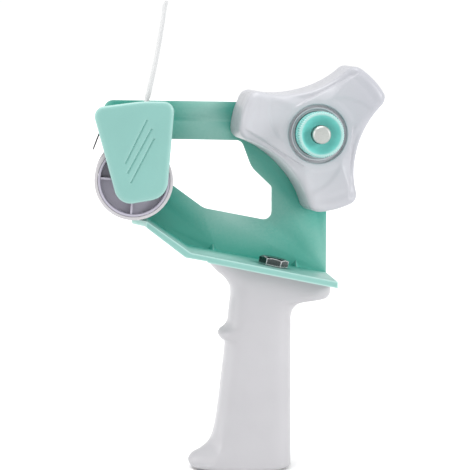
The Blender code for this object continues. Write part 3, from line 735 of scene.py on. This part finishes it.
def make_bolt():
    """Hex head with a turned chamfer, and its shank, along the seat's normal."""
    up = Vector((-SEAT_SLOPE, 0.0, 1.0)).normalized()
    base = Vector((BOLT_X, 0.0, seat_under(BOLT_X) + SEAT_THICK))
    along = Vector((0.0, 1.0, 0.0))
    side = along.cross(up)
    angles = [2 * math.pi * k / 72 for k in range(72)]

    def ring(height, limit, flat):
        out = []
        for t in angles:
            off = (math.degrees(t) - BOLT_FACING + 30.0) % 60.0 - 30.0
            r = min(limit, flat / math.cos(math.radians(off)))
            out.append(tuple(base + (side * math.cos(t) + along * math.sin(t)) * r + up * height))
        return out

    full = BOLT_FLAT / math.cos(math.radians(30.0))
    rings = [ring(GAP, full, BOLT_FLAT)]
    for share in (0.0, 0.25, 0.5, 0.75, 1.0):
        height = BOLT_HEAD - BOLT_CHAMFER * (1.0 - share)
        rings.append(ring(height, full + (BOLT_TOP_R - full) * share, BOLT_FLAT))
    shank = [ring(height, r, 2 * r) for r, height in BOLT_SHANK]
    settle(loft("hex_bolt", shank[::-1] + rings, angle=20.0), "bolt", "frame", "handle_bolt", "handle_bolt")


# ---- front guard -------------------------------------------------------------------
GUARD_OUT = -29.5
GUARD_IN = -27.0
GUARD_ROUND = 2.0
BRIDGE = (169.5, 180.6, -47.7)     # bottom, top, rear x
BRIDGE_END = 24.2
FLAP_PIVOT = (-47.5, 176.0)
FLAP_DIR = Vector((0.1998, 0.0, 0.9798)).normalized()
FLAP_SWING = 24.0
GROOVES = [((-45.6, 175.1), (-56.4, 153.6)), ((-43.4, 170.8), (-55.4, 148.9)),
           ((-42.3, 166.2), (-53.8, 144.3))]
GROOVE_HALF = 0.75
GROOVE_DEPTH = 0.5
GROOVE_SHIFT = -0.4            # share of the half width by which the groove's floor line is off centre


def flap_mouth():
    """Groove for the wiper's bead and the mouth above it."""
    x, z = FLAP_PIVOT
    groove = turned("groove", [(1.6, -60.0), (1.6, 60.0)], (x, z), 48)
    lean = math.atan2(FLAP_DIR.x, FLAP_DIR.z)
    sides = []
    for sign in (1, -1):
        t = lean + sign * math.radians(FLAP_SWING)
        near = Vector((x, z)) + Vector((math.cos(t), -math.sin(t))) * sign
        sides.append((near, near + Vector((math.sin(t), math.cos(t))) * 16.0))
    points = [sides[0][0], sides[0][1], sides[1][1], sides[1][0]]
    combine(groove, prism("mouth", [tuple(p) for p in points], -60.0, 60.0), "UNION")
    return groove


def make_guard():
    outline = rounded([(-59.7, 133.7, 8.0), (-36.7, 137.6, 9.5), (-32.6, 183.5, 5.0),
                       (-48.0, 183.8, 60.0), (-72.3, 180.7, 5.0)], 14)
    rings = []
    for a in (90.0, 75.0, 60.0, 45.0, 30.0, 15.0, 0.0):
        t = math.radians(a)
        rings.append((GUARD_ROUND * (1 - math.cos(t)), GUARD_OUT + GUARD_ROUND * 0.75 * (1 - math.sin(t))))
    rings += [(0.0, GUARD_IN - 0.3), (0.3, GUARD_IN)]
    guard = loft("guard_panel", [[(x, y, z) for x, z in inset(outline, d)] for d, y in rings])
    for (xa, za), (xb, zb) in GROOVES:
        a, b = Vector((xa, za)), Vector((xb, zb))
        side = Vector((-(b - a).y, (b - a).x)).normalized() * GROOVE_HALF
        lip = [(*(p + side * w), GUARD_OUT - 0.1) for p, w in ((a, 1), (b, 1), (b, -1), (a, -1))]
        shift = side * GROOVE_SHIFT
        floor_a = a + (b - a) * 0.03 + shift
        floor_b = b + (a - b) * 0.03 + shift
        floor_y = GUARD_OUT + GROOVE_DEPTH
        verts = [(x, y, z) for x, z, y in lip]
        verts += [(floor_a.x, floor_y, floor_a.y), (floor_b.x, floor_y, floor_b.y)]
        tool = piece("groove", verts, [(0, 1, 2, 3), (0, 4, 5, 1), (1, 5, 2), (2, 5, 4, 3), (3, 4, 0)])
        combine(guard, tool, "DIFFERENCE")
    bottom, top, rear = BRIDGE
    section = rounded([(-67.6, bottom, 0.7), (rear, bottom, 0.7), (rear, top, 0.5), (-63.2, top, 0.7)], 4)
    bridge = prism("bridge", section, GUARD_IN - 0.6, BRIDGE_END)
    mouth = flap_mouth()
    keep = prism("keep", [(-80.0, 150.0), (-20.0, 150.0), (-20.0, 230.0), (-80.0, 230.0)], GUARD_IN, 70.0)
    combine(mouth, keep, "INTERSECT")
    combine(bridge, mouth, "DIFFERENCE")
    combine(guard, bridge, "UNION")
    smooth(guard, 32.0)
    settle(guard, "guard", "frame", "front_guard", "front_guard")


# ---- wiper flap ---------------------------------------------------------------------
FLAP_LEN = 56.8
FLAP_HALF = 22.0
FLAP_STEPS = 40


def make_flap():
    side = Vector((FLAP_DIR.z, 0.0, -FLAP_DIR.x))
    start = Vector((FLAP_PIVOT[0], 0.0, FLAP_PIVOT[1]))
    left, right = [], []
    for k in range(FLAP_STEPS + 1):
        u = k / FLAP_STEPS
        mid = start + FLAP_DIR * (FLAP_LEN * u) + side * (0.9 * math.sin(math.pi * u))
        half = 0.75 - 0.25 * u + 0.32 * math.exp(-((u - 0.985) / 0.02) ** 2)
        left.append(mid - side * half)
        right.append(mid + side * half)
    points = [(p.x, p.z) for p in right] + [(p.x, p.z) for p in reversed(left)]
    rings = []
    for shrink, y in ((0.25, -FLAP_HALF), (0.06, -FLAP_HALF + 0.06), (0.0, -FLAP_HALF + 0.25),
                      (0.0, FLAP_HALF - 0.25), (0.06, FLAP_HALF - 0.06), (0.25, FLAP_HALF)):
        rings.append([(x, y, z) for x, z in inset(points, shrink)])
    sheet = loft("wiper_sheet", rings)
    ends = [(1.3, -FLAP_HALF), (1.5, -FLAP_HALF + 0.2), (1.5, FLAP_HALF - 0.2), (1.3, FLAP_HALF)]
    bead = turned("bead", ends, FLAP_PIVOT, 48)
    combine(sheet, bead, "UNION")
    smooth(sheet, 40.0)
    settle(sheet, "film", "flap", "wiper_flap", "wiper_flap")


# ---- roller ----------------------------------------------------------------------------
ROLLER = (middle("roller_axle").x, middle("roller_axle").z)
ROLLER_R = 19.0
SLEEVE_T = 1.6
CORE_WALL = 1.2
ROLLER_FRONT = -25.0
ROLLER_BACK = 23.0
PIN_BORE = 3.08
WEB_Y = (-20.0, -18.2)
SPOKE_T = 1.0
SPOKE_ANGLE = 85.0
SPOKE_END = 21.0


def make_roller():
    outer = ROLLER_R - SLEEVE_T - 0.15
    inner = outer - CORE_WALL
    core = turned("roller_tube", [
        (inner + 0.3, ROLLER_FRONT), (outer - 0.2, ROLLER_FRONT), (outer, ROLLER_FRONT + 0.2),
        (outer, ROLLER_BACK - 0.2), (outer - 0.2, ROLLER_BACK), (inner + 0.3, ROLLER_BACK),
        (inner, ROLLER_BACK - 0.4), (inner, WEB_Y[1]), (5.0, WEB_Y[1]), (5.0, 21.8), (4.8, 22.0),
        (PIN_BORE, 22.0), (PIN_BORE, -21.5), (4.7, -21.5), (5.0, -21.2), (5.0, WEB_Y[0] - 0.8),
        (5.25, WEB_Y[0] - 0.2), (5.8, WEB_Y[0]), (inner - 0.8, WEB_Y[0]), (inner - 0.2, WEB_Y[0] - 0.3),
        (inner, WEB_Y[0] - 0.9), (inner, ROLLER_FRONT + 0.4)], ROLLER, 160, True)
    spoke = [(4.3, -21.0), (6.8, -21.0), (7.0, -24.4), (inner + 0.6, -24.4), (inner + 0.6, SPOKE_END),
             (4.3, SPOKE_END)]
    for k in range(4):
        t = math.radians(SPOKE_ANGLE + 90.0 * k)
        along, across = Vector((math.cos(t), math.sin(t))), Vector((-math.sin(t), math.cos(t)))
        sides = []
        for sign in (-1, 1):
            spots = [(Vector(ROLLER) + along * r + across * (sign * SPOKE_T / 2), y) for r, y in spoke]
            sides.append([(p.x, y, p.y) for p, y in spots])
        combine(core, loft("spoke", sides), "UNION")
    smooth(core, 32.0)
    settle(core, "core", "roller", "roller_core", "roller_core")
    low, front, back = outer + 0.15, ROLLER_FRONT + 0.2, ROLLER_BACK
    band = [(low + 0.2, front), (ROLLER_R - 0.6, front), (ROLLER_R - 0.17, front + 0.17),
            (ROLLER_R, front + 0.6), (ROLLER_R, back - 0.6), (ROLLER_R - 0.17, back - 0.17),
            (ROLLER_R - 0.6, back), (low + 0.2, back), (low, back - 0.2), (low, front + 0.2)]
    tread = turned("roller_tread", band, ROLLER, 160, True)
    settle(tread, "sleeve", "roller", "roller_sleeve", "roller_sleeve")


make_hub()
make_knob()
make_spring()
make_handle()
make_bolt()
make_guard()
make_flap()
make_roller()

EDGE_ROUND = {"side_frame": 0.8, "flap_clamp": 0.4, "blade": 0.05}
for name, node in nodes.items():
    if not node.hide_render:
        refine(node, EDGE_ROUND.get(name, 0.15))


# ---- stage -----------------------------------------------------------------
def make_floor():
    mesh = bpy.data.meshes.new("floor")
    bm = bmesh.new()
    bmesh.ops.create_circle(bm, cap_ends=True, segments=96, radius=40.0)
    bm.to_mesh(mesh)
    bm.free()
    floor = bpy.data.objects.new("floor", mesh)
    bpy.context.scene.collection.objects.link(floor)
    g = Graph("pale_floor")
    g.link(g.mix(g.span(g.noise(6.0, 3.0), 0.0, 1.0), (0.88, 0.88, 0.88), (0.92, 0.92, 0.92)),
           g.shader.inputs["Base Color"])
    g.set(Roughness=0.8)
    mesh.materials.append(g.material)


def add_light(name, kind, aim_from, energy, **settings):
    data = bpy.data.lights.new(name, kind)
    data.energy = energy
    for key, value in settings.items():
        setattr(data, key, value)
    lamp = bpy.data.objects.new(name, data)
    lamp.location = Vector(aim_from) * MM
    lamp.rotation_mode = "QUATERNION"
    target = Vector((0.0, 0.0, 130.0)) * MM
    lamp.rotation_quaternion = (target - lamp.location).to_track_quat("-Z", "Y")
    bpy.context.scene.collection.objects.link(lamp)


def make_stage():
    make_floor()
    world = bpy.data.worlds.new("white_surround")
    world.use_nodes = True
    world.node_tree.nodes["Background"].inputs["Color"].default_value = (1.0, 1.0, 1.0, 1.0)
    world.node_tree.nodes["Background"].inputs["Strength"].default_value = 1.03
    bpy.context.scene.world = world
    add_light("top_sun", "SUN", (-260.0, -150.0, 1350.0), 2.2, angle=math.radians(50.0))
    add_light("right_sun", "SUN", (1000.0, -640.0, 450.0), 1.5, angle=math.radians(24.0))
    add_light("left_sun", "SUN", (-1300.0, -160.0, 250.0), 1.4, angle=math.radians(40.0))


def make_camera():
    data = bpy.data.cameras.new("camera")
    data.lens = CAMERA_LENS
    data.sensor_width = CAMERA_SENSOR
    data.clip_start = 0.05
    data.clip_end = 200.0
    camera = bpy.data.objects.new("camera", data)
    turn, tilt = math.radians(-CAMERA_TURN), math.radians(CAMERA_TILT)
    right = Vector((math.cos(turn), math.sin(turn), 0.0))
    ahead = Vector((-math.sin(turn) * math.cos(tilt), math.cos(turn) * math.cos(tilt), -math.sin(tilt)))
    up = right.cross(ahead)
    place = Matrix((right, up, -ahead)).transposed().to_4x4()
    place.translation = CAMERA_AT * MM
    camera.matrix_world = place
    bpy.context.scene.collection.objects.link(camera)
    bpy.context.scene.camera = camera
    bpy.context.scene.view_settings.view_transform = "Standard"


make_stage()
make_camera()
